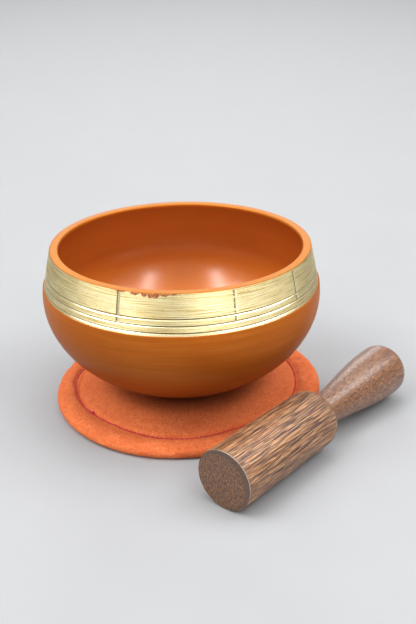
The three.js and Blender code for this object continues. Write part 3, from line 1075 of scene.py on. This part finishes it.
def make_mallet(head_wood, handle_wood):
    profile = mallet_profile()
    handle_start = MALLET.head_length + MALLET.shoulder

    def relief(radius, along, direction):
        across, up = radius * np.cos(direction), radius * np.sin(direction)
        on_handle = smooth(handle_start - 1, handle_start + 2, along)
        deep = pore_share(along, across, up) * between(0.13, 0.004, on_handle)
        wave = 0.03 * (noise(along * 0.05, across * 0.3, up * 0.3, 85) - 1)
        on_face = 1 - smooth(0.02, 0.3, along)
        out = np.where(on_face > 0.5, 0, wave - deep)
        return out, on_face * (deep * 0.8 + 0.25 * face_crescent(across, up))

    directions = even_directions(MALLET_COLUMNS)
    slots = (profile[:, 1] > handle_start - 0.01) * 1
    mallet = lathe("mallet_wood", profile, directions, [head_wood, handle_wood], slots, relief)
    mesh = mallet.data
    x, y, along = read(mesh.vertices, "co").T / MM
    radius = np.hypot(x, y)
    edge = MALLET.head_radius - MALLET.edge_bevel
    crescent = face_crescent(x, y) * (along < 0.5) * (radius < edge + 0.1)
    # The pale worn bevel, only on the side where it faces up: part wear, part painted highlight.
    worn_and_painted_highlight = smooth(edge + 0.15, edge + 0.4, radius) * (1 - smooth(0.25, 0.5, along))
    worn_and_painted_highlight = worn_and_painted_highlight * smooth(0.1, 0.8, -(0.75 * x + 0.65 * y) / np.maximum(radius, 1))
    pores = pore_share(along, x, y) * (1 - crescent)
    for name, value in (("pore", pores), ("crescent", crescent), ("worn_and_painted_highlight", worn_and_painted_highlight)):
        mesh.attributes.new(name, "FLOAT", "POINT").data.foreach_set("value", value.astype(np.float32))
    mesh.transform(mallet_place() @ Matrix.Rotation(math.pi / 2, 4, "Y"))
    return mallet


# ---- stage

# The camera: what it looks at and how far off, its angles in degrees, and its lens in millimetres.
CAMERA = SimpleNamespace(
    target=(9.84, 7.16, 36.5),
    distance=426.6,
    azimuth=-1.453,
    elevation=24.49,
    roll=-0.887,
    lens=54.81,
)
# Softboxes: name, the directions of its lower and upper end seen from the bowl, distance and width
# in metres, power in watts.
SOFTBOXES = [
    ("strip_left", (-0.50, -0.74, 0.46), (-0.46, -0.16, 0.86), 2.0, 0.3, 13.0),
    ("strip_right", (0.45, -0.76, 0.46), (0.42, -0.16, 0.88), 2.0, 0.3, 11.8),
    ("overhead", (0.0, -0.3, 0.95), (0.0, 0.55, 0.83), 2.2, 1.5, 38.0),
    ("side_left", (-0.80, -0.08, 0.58), (-0.42, 0.0, 0.90), 2.2, 1.4, 29.0),
    ("side_right", (0.80, 0.0, 0.58), (0.42, 0.05, 0.90), 2.2, 1.4, 24.0),
    ("behind", (0.0, 0.97, 0.22), (0.0, 0.8, 0.6), 2.2, 1.1, 9.0),
    ("window", (0.33, -0.94, -0.02), (0.33, -0.92, 0.22), 2.0, 0.28, 10.0),
]
# The studio's own glow, from the horizon up to straight overhead.
GLOW = [(0.0, 0.24), (0.2, 0.3), (0.6, 0.42), (1.0, 0.42)]
FLOOR_SIDE = 12.0


def make_camera():
    c = CAMERA
    azimuth, elevation = math.radians(c.azimuth), math.radians(c.elevation)
    flat = math.cos(elevation)
    back = Vector((math.sin(azimuth) * flat, -math.cos(azimuth) * flat, math.sin(elevation)))
    data = bpy.data.cameras.new("camera")
    data.lens = c.lens
    camera = added("camera", data)
    turn = (-back).to_track_quat("-Z", "Y").to_matrix().to_4x4()
    roll = Matrix.Rotation(math.radians(c.roll), 4, "Z")
    place = Matrix.Translation((Vector(c.target) + back * c.distance) * MM)
    camera.matrix_world = place @ turn @ roll
    bpy.context.scene.camera = camera


def make_lights():
    target = Vector((BOWL.middle, 0, BOWL.rim)) * MM
    for name, lower, upper, distance, width, power in SOFTBOXES:
        lower, upper = Vector(lower).normalized(), Vector(upper).normalized()
        towards = (lower + upper).normalized()
        along = (upper - lower).normalized()
        data = bpy.data.lights.new(name, "AREA")
        data.shape = "RECTANGLE"
        data.size, data.size_y = width, (upper - lower).length * distance
        data.energy = power
        lamp = added(name, data)
        turn = Matrix((along.cross(towards), along, towards)).transposed()
        lamp.matrix_world = Matrix.Translation(target + towards * distance) @ turn.to_4x4()
    world = bpy.data.worlds.new("studio")
    bpy.context.scene.world = world
    world.use_nodes = True
    tree = world.node_tree
    height = tree.nodes.new("ShaderNodeSeparateXYZ")
    tree.links.new(tree.nodes.new("ShaderNodeTexCoord").outputs["Generated"], height.inputs[0])
    glow = tree.nodes.new("ShaderNodeValToRGB")
    tree.links.new(height.outputs["Z"], glow.inputs["Fac"])
    set_stops(glow, GLOW)
    tree.links.new(glow.outputs["Color"], tree.nodes["Background"].inputs["Color"])


def make_floor():
    side = FLOOR_SIDE / 2 / MM
    corners = [(-side, -side, 0), (side, -side, 0), (side, side, 0), (-side, side, 0)]
    floor = mesh_object("floor", corners, [(0, 1, 2, 3)], [floor_material()])


# ---- assembly

make_camera()
make_lights()
make_floor()

felt_orange = felt_material()
thread = plain_material("crimson_thread")

bowl_materials = [outside_lacquer(), brass_material(), plain_material("groove_brass_painted_highlight"), inside_lacquer()]
bowl_materials += [plain_material("tarnished_brass_painted_shade"), plain_material("nick_brass_painted_shade")]
bowl = make_bowl(bowl_materials)
chips = make_chips(plain_material("lacquer_remnant"))
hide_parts("bowl")
for piece in (bowl, chips):
    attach(piece, "bowl")

cover, smooth_grid, cover_grid, cover_radii = make_cover(felt_orange)
bottom = make_bottom_cover(felt_orange)
wadding = make_wadding(plain_material("undyed_wadding"), smooth_grid, cover_radii)
stitches = make_stitches(thread, cover_grid, cover_radii)
knot = make_knot(thread, cover_grid, cover_radii)
fibres = make_fibres(felt_orange, cover_grid, cover_radii)
replacing = [(cover, "mat_top_cover"), (bottom, "mat_bottom_cover")]
replacing += [(wadding, "mat_filling"), (stitches, "mat_stitching")]
for piece, node in replacing:
    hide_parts(node)
for piece, node in replacing + [(fibres, "mat_top_cover"), (knot, "mat_stitching")]:
    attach(piece, "mat")

head_wood = wood_material("dark_hardwood_head", 0.45, 0.34, 0.9, 0.7)
handle_wood = wood_material("dark_hardwood_handle", 0.85, 0.27, 0.15, 1.7)
mallet = make_mallet(head_wood, handle_wood)
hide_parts("mallet")
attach(mallet, "mallet")

bpy.context.scene.view_settings.view_transform = "Standard"
